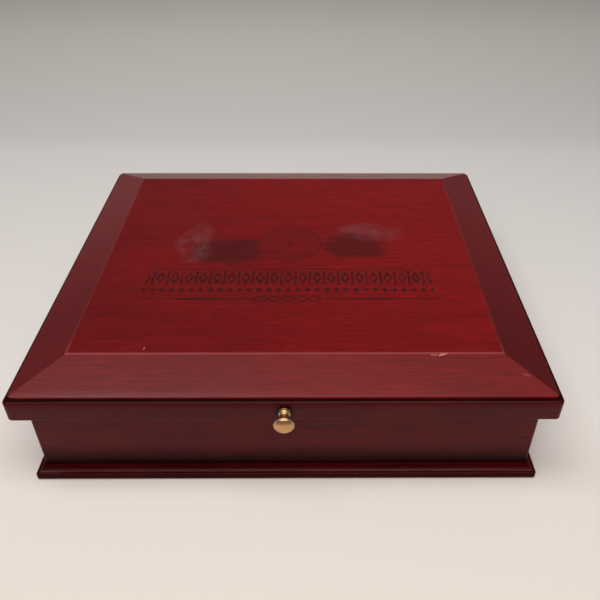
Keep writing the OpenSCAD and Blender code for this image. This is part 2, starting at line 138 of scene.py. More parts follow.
class Graph:
    """The node tree of one material, and the few ways in which nodes are added to it."""

    def __init__(self, name):
        self.material = bpy.data.materials.new(name)
        self.material.use_nodes = True
        self.tree = self.material.node_tree
        self.tree.nodes.clear()

    def node(self, kind, settings=None, values=None, out=0):
        """Adds a node, sets its settings, then its sockets, and returns one output."""
        made = self.tree.nodes.new(kind)
        for key, value in (settings or {}).items():
            if key == "stops":
                self.set_stops(made.color_ramp, value)
            else:
                setattr(made, key, value)
        for key, value in (values or {}).items():
            socket = self.find(made.inputs, key)
            if isinstance(value, Wire):
                self.tree.links.new(value.socket, socket)
            else:
                socket.default_value = value
        return Wire(self, self.find(made.outputs, out)) if made.outputs else None

    @staticmethod
    def find(sockets, key):
        if isinstance(key, int):
            return sockets[key]
        for socket in sockets:
            if key in (socket.identifier, socket.name):
                return socket
        raise KeyError(f"no socket is named {key}")

    @staticmethod
    def set_stops(ramp, stops):
        while len(ramp.elements) < len(stops):
            ramp.elements.new(0.5)
        for element, (place, colour) in zip(ramp.elements, stops):
            element.position = place
            element.color = (*colour, 1)

    def math(self, operation, *values):
        return self.node("ShaderNodeMath", {"operation": operation}, dict(enumerate(values)))

    def vector(self, operation, a, b, out="Vector"):
        key = "Scale" if operation == "SCALE" else 1
        return self.node("ShaderNodeVectorMath", {"operation": operation}, {0: a, key: b}, out)

    def mix(self, factor, a, b, blend="MIX"):
        """Colour a, going to colour b as factor goes from 0 to 1."""
        a, b = (v if isinstance(v, Wire) else (*v[:3], 1) for v in (a, b))
        return self.node(
            "ShaderNodeMix",
            {"data_type": "RGBA", "blend_type": blend, "clamp_factor": True},
            {"Factor_Float": factor, "A_Color": a, "B_Color": b},
            "Result_Color",
        )

    def fade(self, value, low, high, start=0.0, end=1.0):
        """Goes smoothly from start to end as value goes from low to high."""
        return self.node(
            "ShaderNodeMapRange",
            {"interpolation_type": "SMOOTHSTEP"},
            {
                "Value": value,
                "From Min": low,
                "From Max": high,
                "To Min": start,
                "To Max": end,
            },
        )

    def place(self):
        """The point on the piece, in millimetres, in the piece's own frame."""
        point = self.node("ShaderNodeTexCoord", out="Object")
        return self.vector("SCALE", point, 1000.0)

    def split(self, vector):
        made = self.node("ShaderNodeSeparateXYZ", values={0: vector})
        outputs = made.socket.node.outputs
        return [Wire(self, outputs[axis]) for axis in "XYZ"]

    def noise(self, vector, scale, detail=2.0, rough=0.5, distort=0.0, stretch=None):
        """Smooth noise around 0.5. A stretch below 1 draws it out along that axis."""
        if stretch:
            vector = self.vector("MULTIPLY", vector, stretch)
        return self.node(
            "ShaderNodeTexNoise",
            {"noise_dimensions": "3D"},
            {
                "Vector": vector,
                "Scale": scale,
                "Detail": detail,
                "Roughness": rough,
                "Distortion": distort,
            },
            "Fac",
        )

    def bump(self, height, distance, strength=1.0, normal=None):
        """A bump whose height runs over the given distance, in metres."""
        values = {"Height": height, "Distance": distance, "Strength": strength}
        if normal:
            values["Normal"] = normal
        return self.node("ShaderNodeBump", values=values, out="Normal")

    def finish(self, **sockets):
        """Ends the tree in one Principled shader, and returns the material."""
        values = {key.replace("_", " "): value for key, value in sockets.items()}
        for key in ("Base Color", "Sheen Tint", "Coat Tint", "Specular Tint"):
            if key in values and not isinstance(values[key], Wire):
                values[key] = (*values[key][:3], 1)
        shader = self.node("ShaderNodeBsdfPrincipled", values=values, out="BSDF")
        self.node("ShaderNodeOutputMaterial", values={"Surface": shader})
        return self.material


# ---------------------------------------------------------------- materials


def shaded(colour, share):
    """The colour, darkened or lightened to a share of itself."""
    return tuple(c * share for c in colour)


def along(axis, drawn_out, across=1.0):
    """Stretch factors that draw a pattern out along one axis."""
    return tuple(drawn_out if a == axis else across for a in "XYZ")


def wood_grain(g, at, axis):
    """Fibres, short pores, fine streaks and broad figure of wood with its grain along axis."""
    warp = g.noise(at, 0.012, detail=2)
    at = g.vector("ADD", at, g.vector("SCALE", g.node(
        "ShaderNodeCombineXYZ", values={a: warp for a in "XYZ"}), 9.0))
    fibre = g.noise(at, 1.5, detail=3, rough=0.6, stretch=along(axis, 0.022))
    pores = g.fade(g.noise(at, 2.6, detail=2, stretch=along(axis, 0.07)), 0.60, 0.72)
    streaks = g.noise(at, 0.42, detail=3, rough=0.6, distort=0.3, stretch=along(axis, 0.035))
    figure = g.noise(at, 0.085, detail=3, rough=0.55, distort=0.6, stretch=along(axis, 0.12))
    return fibre, pores, streaks, figure


def board_depth(g, at, x, y, depth):
    """How deep the board's colour is: by strip, lighter to the right, darker at some edges."""
    glow = g.fade(x + y * 0.5, -150.0, 130.0)
    depth = depth * 0.45 + 0.25 * board_strips(g, at, y) + 0.40 * glow
    flat_front = g.fade(y, 20.0, -90.0) * g.fade(y, -113.0, -110.0)
    depth = depth - flat_front * 0.12 - g.fade(x, -80.0, -125.0) * 0.10
    return depth - g.fade(x, 40.0, 125.0) * g.fade(y, -110.0, -113.0) * 0.20


def board_surface(g, at, look, deep, colour, rough, coat):
    """Print, wear, chips and lacquer of the board. Returns its colour, roughness and coat."""
    x, y, z = g.split(at)
    ends = bevelled_ends(g, x, y)
    colour = g.mix(ends * 0.55, colour, tuple(look.end_stain))
    scuff, ink = print_wear(g, x, y, at), ornament(g, x, y, at)
    colour = g.mix(ink, colour, tuple(look.ink))
    colour = g.mix(scuff, colour, tuple(look.scuff))
    bare = bare_marks(g, x, y, at)
    colour = g.mix(bare, colour, tuple(look.bare_wood))
    # Painted highlight along the arris round the board's flat, strongest at the front.
    lit = arris(g, x, y) * g.fade(y, -95.0, -109.0, 0.15, 0.55)
    colour = g.mix(lit, colour, tuple(look.arris))
    colour = g.mix(g.fade(z, *SHADOW_LINE, 0.75, 0.0), colour, shaded(deep, 0.1))
    # Painted light on the left end bevel towards the back, and painted shade on the right end
    # bevel towards the front.
    lit_left_back = g.fade(x * -1.0, 90.0, 125.0) * g.fade(y, -90.0, 110.0)
    shaded_right_front = g.fade(x, 90.0, 125.0) * g.fade(y, 60.0, -110.0)
    colour = g.mix(ends * lit_left_back * 0.55, colour, (0.19, 0.030, 0.030))
    colour = g.mix(ends * shaded_right_front * 0.40, colour, shaded(deep, 0.2))
    front, back = (g.fade(out - FLAT_Y, -0.5, 0.5) * (1 - ends) for out in (y * -1.0, y))
    coat = g.fade(z, BOARD_EDGE_TOP, BOARD_EDGE_TOP + 0.5, 0.13, coat)
    coat = coat + back * 0.20 + ends * lit_left_back * 0.16 + ends * g.fade(y, 0.0, 110.0) * 0.14
    polished = g.math("MAXIMUM", back, ends) * 0.12
    front = front * g.fade(z, 74.2, 75.0)
    rough = rough + front * look.handling - polished + bare * 0.25
    return colour, rough, coat


def stained_wood(name, axis, look, tone, sheen, coat, dulled_and_darkened=None, part=None):
    """Lacquered red wood, as one of the lacquers above says. look is the finish settings.

    part is "board" for the lid board, "rail" for a lid rail, which gets a painted shadow
    along its top under the board, and "front rail" for the one that also gets painted shade
    round the foot of the knob.
    """
    g = Graph(name)
    at = g.place()
    x, y, z = g.split(at)
    fibre, pores, streaks, figure = wood_grain(g, at, axis)
    # tone makes a darker copy of the stain for each part, partly a darker stain, partly painted
    # shade.
    light, deep = shaded(look.light_stain, tone), shaded(look.deep_stain, tone)
    blotch = g.noise(at, 0.016, detail=3, rough=0.6, stretch=along(axis, 0.6))
    depth = g.fade(figure * 0.40 + blotch * 0.60, 0.32, 0.66, 0.27, 0.89)
    if part == "board":
        depth = board_depth(g, at, x, y, depth)
    colour = g.mix(depth, deep, light)
    colour = g.mix(g.fade(streaks, 0.45, 0.70, 0.0, 0.20), colour, shaded(deep, 0.55))
    colour = g.mix(g.fade(fibre, 0.38, 0.70, 0.0, 0.50), colour, shaded(deep, 0.45))
    colour = g.mix(pores * 0.55, colour, shaded(deep, 0.25))
    rough = g.noise(at, 0.03, detail=3) * 0.12 + (look.roughness - 0.06)
    # Where the lacquer thins out the colour darkens: painted shade on the plinth's lower face and
    # the rails' top, and plain darkening towards the bottom on the walls.
    if dulled_and_darkened:
        full, none, darkening = dulled_and_darkened
        coat = g.fade(z, none, full, 0.0, coat)
        colour = g.mix(g.fade(z, none, full, darkening, 0.0), colour, shaded(deep, 0.1))
    if part == "board":
        colour, rough, coat = board_surface(g, at, look, deep, colour, rough, coat)
    if part in ("rail", "front rail"):
        # Painted shadow along the top of the rail, under the edge of the board.
        board_shadow = g.fade(z, RAIL_TOP - 0.3, RAIL_TOP, 0.0, 0.80)
        colour = g.mix(board_shadow, colour, shaded(deep, 0.1))
    if part == "front rail":
        # Painted shade round the foot of the knob.
        foot = (x * x + (z - KNOB_AXIS) ** 2) ** 0.5
        colour = g.mix(g.fade(foot, 4.6, 7.0, 0.85, 0.0), colour, shaded(deep, 0.05))
    height = fibre * 0.5 + pores * -0.6 + g.noise(at, 0.35, detail=1) * 0.6
    return g.finish(
        Base_Color=colour,
        Roughness=rough,
        Specular_IOR_Level=sheen,
        Coat_Weight=coat,
        Coat_Roughness=look.lacquer_roughness,
        Normal=g.bump(height, 0.00002, 0.6),
    )


def plain_wood(name, axis):
    """Sanded, unfinished wood for hidden pieces."""
    g = Graph(name)
    at = g.place()
    fibre, pores, streaks, figure = wood_grain(g, at, axis)
    grown = g.fade(figure * 0.5 + streaks * 0.5, 0.3, 0.7)
    colour = g.mix(grown, (0.42, 0.26, 0.13), (0.56, 0.38, 0.21))
    colour = g.mix(g.fade(fibre, 0.3, 0.8, 0, 0.4), colour, (0.33, 0.19, 0.09))
    colour = g.mix(pores * 0.5, colour, (0.22, 0.12, 0.06))
    return g.finish(
        Base_Color=colour,
        Roughness=g.fade(fibre, 0.2, 0.8, 0.62, 0.78),
        Normal=g.bump(fibre + pores * -0.6, 0.00006),
    )


def velvet(name, colour):
    """Short dense pile that catches light at glancing angles."""
    g = Graph(name)
    at = g.place()
    pile = g.noise(at, 3.2, detail=3, rough=0.7)
    crush = g.noise(at, 0.045, detail=3, rough=0.6, distort=0.8)
    bright = shaded(colour, 1.9)
    shade = g.mix(g.fade(crush, 0.35, 0.7), tuple(colour), bright)
    shade = g.mix(g.fade(pile, 0.3, 0.75, 0, 0.5), shade, shaded(colour, 0.45))
    return g.finish(
        Base_Color=shade,
        Roughness=g.fade(pile, 0.2, 0.8, 0.85, 1.0),
        Specular_IOR_Level=0.15,
        Sheen_Weight=0.30,
        Sheen_Roughness=0.40,
        Sheen_Tint=(0.64, 0.62, 0.62),
        Normal=g.bump(pile, 0.00025, 0.8),
    )


def woven(name, colour, pitch, axis="X", sheen=0.25, rough=0.5, slubs=0.20):
    """Fine satin or ribbon weave: long floats along one axis, short ties across it."""
    g = Graph(name)
    at = g.place()
    parts = dict(zip("XYZ", g.split(at)))
    other = "Y" if axis == "X" else "X"
    turn = 2 * math.pi / pitch
    warp = g.math("SINE", parts[other] * turn)
    weft = g.math("SINE", parts[axis] * (turn * 0.27) + parts[other] * (turn * 0.5))
    thread = warp * 0.5 + weft * 0.25 + 0.5
    slub = g.noise(at, 2.2, detail=2, stretch=along(axis, 0.05))
    shade = g.mix(g.fade(slub, 0.3, 0.7), shaded(colour, 1 - slubs), tuple(colour))
    shade = g.mix(g.fade(thread, 0.1, 0.6, 0.35, 0.0), shade, shaded(colour, 0.45))
    return g.finish(
        Base_Color=shade,
        Roughness=g.fade(slub, 0.3, 0.7, rough - 0.07, rough + 0.07),
        Sheen_Weight=sheen,
        Sheen_Roughness=0.4,
        Normal=g.bump(thread, 0.00006, 0.7),
    )


def felted(name, colour):
    """Pressed felt: matted fibres, no weave."""
    g = Graph(name)
    at = g.place()
    fuzz = g.noise(at, 1.8, detail=5, rough=0.75, distort=1.5)
    clump = g.noise(at, 0.12, detail=3, rough=0.6)
    shade = g.mix(g.fade(fuzz, 0.3, 0.7), shaded(colour, 0.6), tuple(colour))
    shade = g.mix(g.fade(clump, 0.4, 0.7, 0, 0.4), shade, shaded(colour, 1.5))
    return g.finish(
        Base_Color=shade,
        Roughness=g.fade(fuzz, 0.2, 0.8, 0.9, 1.0),
        Specular_IOR_Level=0.1,
        Sheen_Weight=0.3,
        Sheen_Roughness=0.6,
        Normal=g.bump(fuzz, 0.0003, 0.8),
    )


def head_tint_and_reflections(g, at, shade, colour):
    """A warmer face on the knob's head, with a painted highlight on its paler rim and a painted
    reflection, a dark crescent, at its top.
    """
    x, y, z = g.split(at)
    face, radius = KNOB_FACE, KNOB_RADIUS
    rise = z - KNOB_AXIS
    out = (x * x + rise * rise) ** 0.5
    on_face = g.fade(y, face + 3.0, face + 1.2)
    centre = on_face * g.fade(out, radius * 0.60, radius * 0.85, 1.0, 0.0)
    shade = g.mix(centre * 0.6, shade, (colour[0] * 0.95, colour[1] * 0.85, colour[2] * 0.60))
    # Painted highlight: a paler rim.
    rim = on_face * g.fade(out, radius * 0.75, radius * 0.92)
    shade = g.mix(rim * 0.6, shade, (colour[0] * 0.95, colour[1] * 0.98, colour[2] * 1.35))
    # Painted reflection: a dark crescent under the top edge.
    crescent = on_face * g.fade(rise, radius * 0.25, radius * 0.60)
    crescent = crescent * g.fade(out, radius * 0.80, radius * 0.95, 1.0, 0.0)
    return g.mix(crescent * 0.75, shade, shaded(colour, 0.28))


def metal(name, colour, dull, roughness, turned=False):
    """Worn bright metal. The knob is turned: it gets fine rings, and on its face a warmer centre,
    a painted highlight on the rim and a painted reflection, a dark crescent, at the top.
    """
    g = Graph(name)
    at = g.place()
    cloud = g.noise(at, 0.35, detail=4, rough=0.65)
    spots = g.fade(g.noise(at, 1.4, detail=3, rough=0.7), 0.58, 0.72)
    shade = g.mix(g.fade(cloud, 0.38, 0.68), tuple(colour), tuple(dull))
    shade = g.mix(spots * 0.25, shade, shaded(dull, 0.45))
    stretch = (0.12, 6.0, 0.12) if turned else (0.15, 5.0, 5.0)
    lines = g.noise(at, 1.0, detail=2, stretch=stretch)
    if turned:
        shade = head_tint_and_reflections(g, at, shade, colour)
    return g.finish(
        Base_Color=shade,
        Metallic=1.0,
        Roughness=g.fade(cloud, 0.3, 0.7, roughness, roughness + 0.14) + spots * 0.12,
        Normal=g.bump(lines, 0.00003, 0.5),
    )


# ---------------------------------------------------------------- masks on the lid board


def line_mask(g, distance, half, soft=0.25):
    """1 within half of a line, going to 0 over soft."""
    return g.fade(abs(distance), half, half + soft, 1.0, 0.0)


def board_strips(g, at, y):
    """A tone for each of the strips that the board is glued up from, front to back."""
    wander = g.noise(at, 0.02, detail=1, stretch=(0.05, 1.0, 1.0))
    row = g.math("FLOOR", y / STRIP + 0.5 + wander * 0.04)
    return g.node("ShaderNodeTexWhiteNoise", {"noise_dimensions": "1D"}, {"W": row + 7.0}, "Value")


def patch(g, x, y, place, reach, ragged):
    """A soft oval patch with a ragged edge."""
    spread = ((x - place[0]) / reach[0]) ** 2 + ((y - place[1]) / reach[1]) ** 2
    return g.fade(spread + ragged, 0.35, 1.15, 1.0, 0.0)


def rosette(g, x, y):
    """Fine engraved rings, two of them waved, round a solid boss."""
    radius = (x * x + y * y) ** 0.5
    turn = g.math("ARCTAN2", y, x)
    wave, ripple = g.math("COSINE", turn * 16.0) * 1.4, g.math("COSINE", turn * 10.0) * 2.4
    rings = [
        (radius - 22.5, 0.50),
        (radius - wave - 18.5, 0.28),
        (radius + wave - 18.5, 0.28),
        (radius - 15.0, 0.35),
        (radius - ripple - 10.5, 0.28),
        (radius + ripple - 10.5, 0.28),
        (radius - 5.8, 0.40),
    ]
    mask = line_mask(g, radius, 2.6, 0.5)
    for distance, half in rings:
        mask = g.math("MAXIMUM", mask, line_mask(g, distance, half))
    return mask


def lozenge_border(g, x, y, reach):
    """A bold row of lozenges and bars over a row of small ones, between rules."""
    inside = g.fade(reach, BORDER_REACH, BORDER_REACH + 0.6, 1.0, 0.0)
    cell = abs(g.math("FRACT", x / LOZENGE_PITCH + 0.5) - 0.5) * LOZENGE_PITCH
    high = abs(y + LOZENGE_Y)
    lozenge = g.fade(cell / 3.7 + high / 8.4, 0.86, 1.0, 1.0, 0.0)
    hollow = g.fade(cell / 1.5 + high / 3.6, 0.80, 1.0, 0.0, 1.0)
    bar = line_mask(g, cell - LOZENGE_PITCH / 2, 0.75) * g.fade(high, 6.4, 6.9, 1.0, 0.0)
    foot = line_mask(g, high - 7.0, 0.45) * g.fade(cell, 2.6, 3.1)
    small = abs(g.math("FRACT", x / BEAD_PITCH + 0.5) - 0.5) * BEAD_PITCH
    bead = g.fade(small / 2.3 + abs(y + BEAD_Y) / 2.9, 0.8, 1.0, 1.0, 0.0)
    swell = g.fade(abs(reach - 58.0), 0.0, 24.0, 1.0, 0.0)
    tail = g.fade(abs(y + BRAID_Y) - swell, 0.30, 0.6, 1.0, 0.0) * (reach > 19.0)
    twist = g.math("COSINE", x * (math.pi / BRAID_PITCH)) * 2.6
    strands = (line_mask(g, y + BRAID_Y + side, 0.6) for side in (twist * -1.0, twist))
    braid = g.math("MAXIMUM", *strands) * (reach < 22.5)
    rule = line_mask(g, y + RULE_Y, 0.4)
    mask = lozenge * hollow
    for piece in (bar, foot, bead, tail, rule, braid):
        mask = g.math("MAXIMUM", mask, piece)
    return mask * inside


def ornament(g, x, y, at):
    """Ink of the printed ornament: a faded rosette between two clouds, over a border."""
    cloth = g.noise(at, 0.06, detail=4, rough=0.65)
    ragged = (cloth - 0.5) * 2.0
    cloud = g.math("MAXIMUM", patch(g, x, y, (-47, -2), (29, 19), ragged),
                   patch(g, x, y, (48, 5), (27, 17), ragged))
    fade = g.fade(cloth, 0.25, 0.60, 0.35, 0.80)
    worn = g.fade(g.noise(at, 0.12, detail=4, rough=0.7), 0.30, 0.60, 0.48, 0.88)
    mask = g.math("MAXIMUM", cloud * 0.60, rosette(g, x, y - ROSETTE_Y) * fade * 0.75)
    return g.math("MAXIMUM", mask, lozenge_border(g, x, y, abs(x)) * worn)


def print_wear(g, x, y, at):
    """Greyish rub marks round the clouds of the print."""
    rub = g.noise(at, 0.10, detail=5, rough=0.75)
    ragged = (g.noise(at, 0.05, detail=3) - 0.5) * 2.2
    left = patch(g, x, y, (-70, 8), (15, 26), ragged)
    right = patch(g, x, y, (62, 24), (26, 14), ragged)
    return g.math("MAXIMUM", left, right) * g.fade(rub, 0.30, 0.70) * 0.36


def arris(g, x, y):
    """1 along the arris between the board's flat and its bevels."""
    out = g.math("MAXIMUM", abs(x) - FLAT_X, abs(y) - FLAT_Y)
    return g.fade(abs(out - 0.3), 0.2, 1.1, 1.0, 0.0)


def bevelled_ends(g, x, y):
    """1 on the left and right bevels, where the board shows its end grain."""
    side = abs(x) - FLAT_X
    front = abs(y) - FLAT_Y
    return g.fade(side, -0.4, 0.4) * g.fade(side - front, -0.4, 0.4)


CHIPS = (
    # across, along, half width, half height, slope, strength of each bare mark
    (93.2, -111.2, 3.5, 0.55, 0.27, 0.90),
    (92.3, -110.4, 1.6, 0.35, -0.15, 0.60),
    (87.6, -111.4, 2.6, 1.20, 0.0, 0.22),
    (-84.0, -106.0, 0.45, 1.5, 0.0, 0.55),
    (139.6, -124.2, 2.4, 0.45, -0.25, 0.25),
)


def bare_marks(g, x, y, at):
    """Small chips through the stain, most of them along the arris of the board."""
    ragged = (g.noise(at, 0.9, detail=3, rough=0.7) - 0.5) * 1.2
    mask = None
    for across, along_y, wide, high, slope, strength in CHIPS:
        side = x - across
        spot = (side / wide) ** 2 + ((y - along_y - side * slope) / high) ** 2
        chip = g.fade(spot + ragged, 0.55, 0.95, strength, 0.0)
        mask = chip if mask is None else g.math("MAXIMUM", mask, chip)
    return mask


# ---------------------------------------------------------------- finishing CAD nodes


def soft_edges_group():
    """Geometry nodes that shade every edge flatter than the given angle as smooth."""
    name = "Smooth Flat Edges"
    if name in bpy.data.node_groups:
        return bpy.data.node_groups[name]
    group = bpy.data.node_groups.new(name, "GeometryNodeTree")
    group.interface.new_socket("Geometry", in_out="INPUT", socket_type="NodeSocketGeometry")
    group.interface.new_socket("Geometry", in_out="OUTPUT", socket_type="NodeSocketGeometry")
    new, link = group.nodes.new, group.links.new
    start, end = new("NodeGroupInput"), new("NodeGroupOutput")
    angle = new("GeometryNodeInputMeshEdgeAngle")
    sharp = new("FunctionNodeCompare")
    sharp.data_type, sharp.operation = "FLOAT", "GREATER_THAN"
    sharp.inputs[1].default_value = math.radians(33)
    faces, edges = new("GeometryNodeSetShadeSmooth"), new("GeometryNodeSetShadeSmooth")
    faces.domain, edges.domain = "FACE", "EDGE"
    faces.inputs["Shade Smooth"].default_value = True
    edges.inputs["Shade Smooth"].default_value = False
    link(start.outputs[0], faces.inputs["Geometry"])
    link(faces.outputs[0], edges.inputs["Geometry"])
    link(angle.outputs["Unsigned Angle"], sharp.inputs[0])
    link(sharp.outputs[0], edges.inputs["Selection"])
    link(edges.outputs[0], end.inputs[0])
    return group


def paint(piece, material):
    piece.data.materials.clear()
    piece.data.materials.append(material)
    for face in piece.data.polygons:
        face.material_index = 0


def finish_node(name, material, ease=0.0, limit=30.0, segments=3):
    """Gives a CAD node its material and eased edges, with its own mesh untouched."""
    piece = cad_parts[name]
    mesh = piece.data
    for extra in [a for a in mesh.attributes if a.name == "custom_normal"]:
        mesh.attributes.remove(extra)
    paint(piece, material)
    weld = piece.modifiers.new("Weld", "WELD")
    weld.merge_threshold = 0.002 * MM
    if ease:
        bevel = piece.modifiers.new("Ease", "BEVEL")
        bevel.width = ease
        bevel.segments = segments
        bevel.limit_method = "ANGLE"
        bevel.angle_limit = math.radians(limit)
        bevel.use_clamp_overlap = True
    smooth = piece.modifiers.new("Smooth", "NODES")
    smooth.node_group = soft_edges_group()
    weigh = piece.modifiers.new("Weigh", "WEIGHTED_NORMAL")
    weigh.keep_sharp = True
    return piece


def new_piece(name, verts, faces, material, body, smooth=True):
    """Makes a mesh piece that rides on a body."""
    mesh = bpy.data.meshes.new(name)
    mesh.from_pydata([tuple(v) for v in verts], [], faces)
    mesh.validate()
    mesh.update()
    for face in mesh.polygons:
        face.use_smooth = smooth
    piece = bpy.data.objects.new(name, mesh)
    bpy.context.scene.collection.objects.link(piece)
    paint(piece, material)
    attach(piece, body)
    return piece


SHEET_CORNER, SHEET_ROLL, SHEET_CALM = 3 * MM, 0.8 * MM, 6 * MM


def lay_sheet(node, name, material, wave):
    """Makes a bonded sheet of cloth in a CAD node's place, with soft edges and slight waves."""
    low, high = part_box(node)
    size, thick = high - low, high.z - low.z
    border = [0.0, 0.15 * MM, 0.4 * MM, 0.8 * MM, 1.6 * MM]
    lines = []
    for axis in (0, 1):
        inner = np.linspace(low[axis] + 5 * MM, high[axis] - 5 * MM, round(size[axis] / (4 * MM)))
        lines.append([low[axis] + b for b in border] + [float(v) for v in inner]
                     + [high[axis] - b for b in reversed(border)])
    across, deep = (len(line) - 1 for line in lines)
    verts, faces = [], []
    for layer in (0, 1):
        for x in lines[0]:
            for y in lines[1]:
                inset_x = min(x - low.x, high.x - x)
                inset_y = min(y - low.y, high.y - y)
                corner = max(0.0, SHEET_CORNER - math.hypot(inset_x, inset_y)) * 0.29
                round_off = max(0.0, 1 - min(inset_x, inset_y) / SHEET_ROLL) ** 2
                swell = math.sin(x * 61 + y * 23) * math.sin(y * 47 - x * 11 + 0.7)
                fade = min(1.0, min(inset_x, inset_y) / SHEET_CALM)
                drop = wave * 0.5 * (1 + swell * fade) + round_off * thick * 0.35
                z = high.z - drop if layer else low.z + round_off * thick * 0.35
                verts.append((x - math.copysign(corner, x), y - math.copysign(corner, y), z))
    row, sheet = deep + 1, (across + 1) * (deep + 1)
    for i in range(across):
        for j in range(deep):
            a = i * row + j
            faces.append((a, a + 1, a + row + 1, a + row))
            faces.append((sheet + a, sheet + a + row, sheet + a + row + 1, sheet + a + 1))
    rim = [i * row for i in range(across)] + [across * row + j for j in range(deep)]
    rim += [i * row + deep for i in range(across, 0, -1)] + list(range(deep, 0, -1))
    for a, b in zip(rim, rim[1:] + rim[:1]):
        faces.append((a, b, sheet + b, sheet + a))
    piece = new_piece(name, verts, faces, material, "case")
    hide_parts(node)
    return piece


def nodes_named(*starts):
    return sorted(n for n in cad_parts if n.startswith(starts))


# ---------------------------------------------------------------- settings


class CaseFinish(PropertyGroup):
    """Wood and metal finishes."""

    light_stain: FloatVectorProperty(
        name="Light stain", description="Colour of the lighter wood under the lacquer",
        subtype="COLOR", size=3, min=0, max=1, default=(0.250, 0.0065, 0.0075))
    deep_stain: FloatVectorProperty(
        name="Deep stain", description="Colour of the darker wood under the lacquer",
        subtype="COLOR", size=3, min=0, max=1, default=(0.115, 0.0045, 0.0065))
    end_stain: FloatVectorProperty(
        name="End-grain stain", description="Colour of the end grain on the side bevels",
        subtype="COLOR", size=3, min=0, max=1, default=(0.085, 0.010, 0.012))
    ink: FloatVectorProperty(
        name="Ink", description="Colour of the printed ornament",
        subtype="COLOR", size=3, min=0, max=1, default=(0.028, 0.006, 0.006))
    scuff: FloatVectorProperty(
        name="Scuffs", description="Colour of the rub marks on the printed ornament",
        subtype="COLOR", size=3, min=0, max=1, default=(0.19, 0.075, 0.085))
    # Colour of the painted highlight along the arris round the board's flat.
    arris: FloatVectorProperty(
        name="Arris", description="Colour of the rubbed arris round the board's flat",
        subtype="COLOR", size=3, min=0, max=1, default=(0.30, 0.055, 0.055))
    bare_wood: FloatVectorProperty(
        name="Bare wood", description="Colour of the wood in chips",
        subtype="COLOR", size=3, min=0, max=1, default=(0.64, 0.23, 0.18))
    roughness: FloatProperty(
        name="Roughness", description="Roughness of the stained wood",
        subtype="FACTOR", min=0.05, max=1, default=0.34)
    handling: FloatProperty(
        name="Handling", description="Roughness added by hands to the front bevel",
        subtype="FACTOR", min=0, max=0.5, default=0.14)
    lacquer_roughness: FloatProperty(
        name="Lacquer roughness", description="Roughness of the lacquer coat",
        subtype="FACTOR", min=0.02, max=1, default=0.20)
    ease: FloatProperty(
        name="Eased edge", description="Width of the eased edges of the wooden pieces",
        unit="LENGTH", min=0.0001, max=0.003, default=0.0006)
    brass: FloatVectorProperty(
        name="Brass", description="Colour of the knob and the hinges",
        subtype="COLOR", size=3, min=0, max=1, default=(0.66, 0.41, 0.20))


class CaseSoftGoods(PropertyGroup):
    """Fabrics."""

    velvet: FloatVectorProperty(
        name="Velvet", description="Colour of the trays",
        subtype="COLOR", size=3, min=0, max=1, default=(0.012, 0.011, 0.012))
    satin: FloatVectorProperty(
        name="Satin", description="Colour of the padded lid lining",
        subtype="COLOR", size=3, min=0, max=1, default=(0.62, 0.55, 0.42))
    ribbon: FloatVectorProperty(
        name="Ribbon", description="Colour of the lifting ribbons",
        subtype="COLOR", size=3, min=0, max=1, default=(0.21, 0.012, 0.018))
    felt: FloatVectorProperty(
        name="Felt", description="Colour of the felt under the plinth",
        subtype="COLOR", size=3, min=0, max=1, default=(0.018, 0.055, 0.028))
    pad_grid: IntProperty(
        name="Pad grid", description="Cells across the padded lining", min=12, max=120,
        default=56)
    pad_pressure: FloatProperty(
        name="Pad pressure", description="Pressure that fills the padded lining",
        min=0, max=20, default=4.0)


class CaseStage(PropertyGroup):
    """Floor, lights and camera."""

    key_power: FloatProperty(
        name="Key light", description="Power of the large soft light", unit="POWER",
        min=0, max=500, default=13.0)
    fill_power: FloatProperty(
        name="Fill light", description="Power of the front fill light", unit="POWER",
        min=0, max=500, default=8.5)
    room_light: FloatProperty(
        name="Room light", description="Strength of the even light from all round",
        min=0, max=5, default=0.15)
    focal_length: FloatProperty(
        name="Focal length", description="Lens of the camera, in millimetres",
        min=10, max=200, default=38.615)


class CaseSettings(PropertyGroup):
    """All settings of the case."""

    finish: PointerProperty(type=CaseFinish)
    soft: PointerProperty(type=CaseSoftGoods)
    stage: PointerProperty(type=CaseStage)


# ---------------------------------------------------------------- operators


class CaseOperator(Operator):
    """Common ground of the case's operators."""

    bl_options = {"REGISTER", "UNDO"}

    @property
    def settings(self):
        return bpy.context.scene.presentation_case


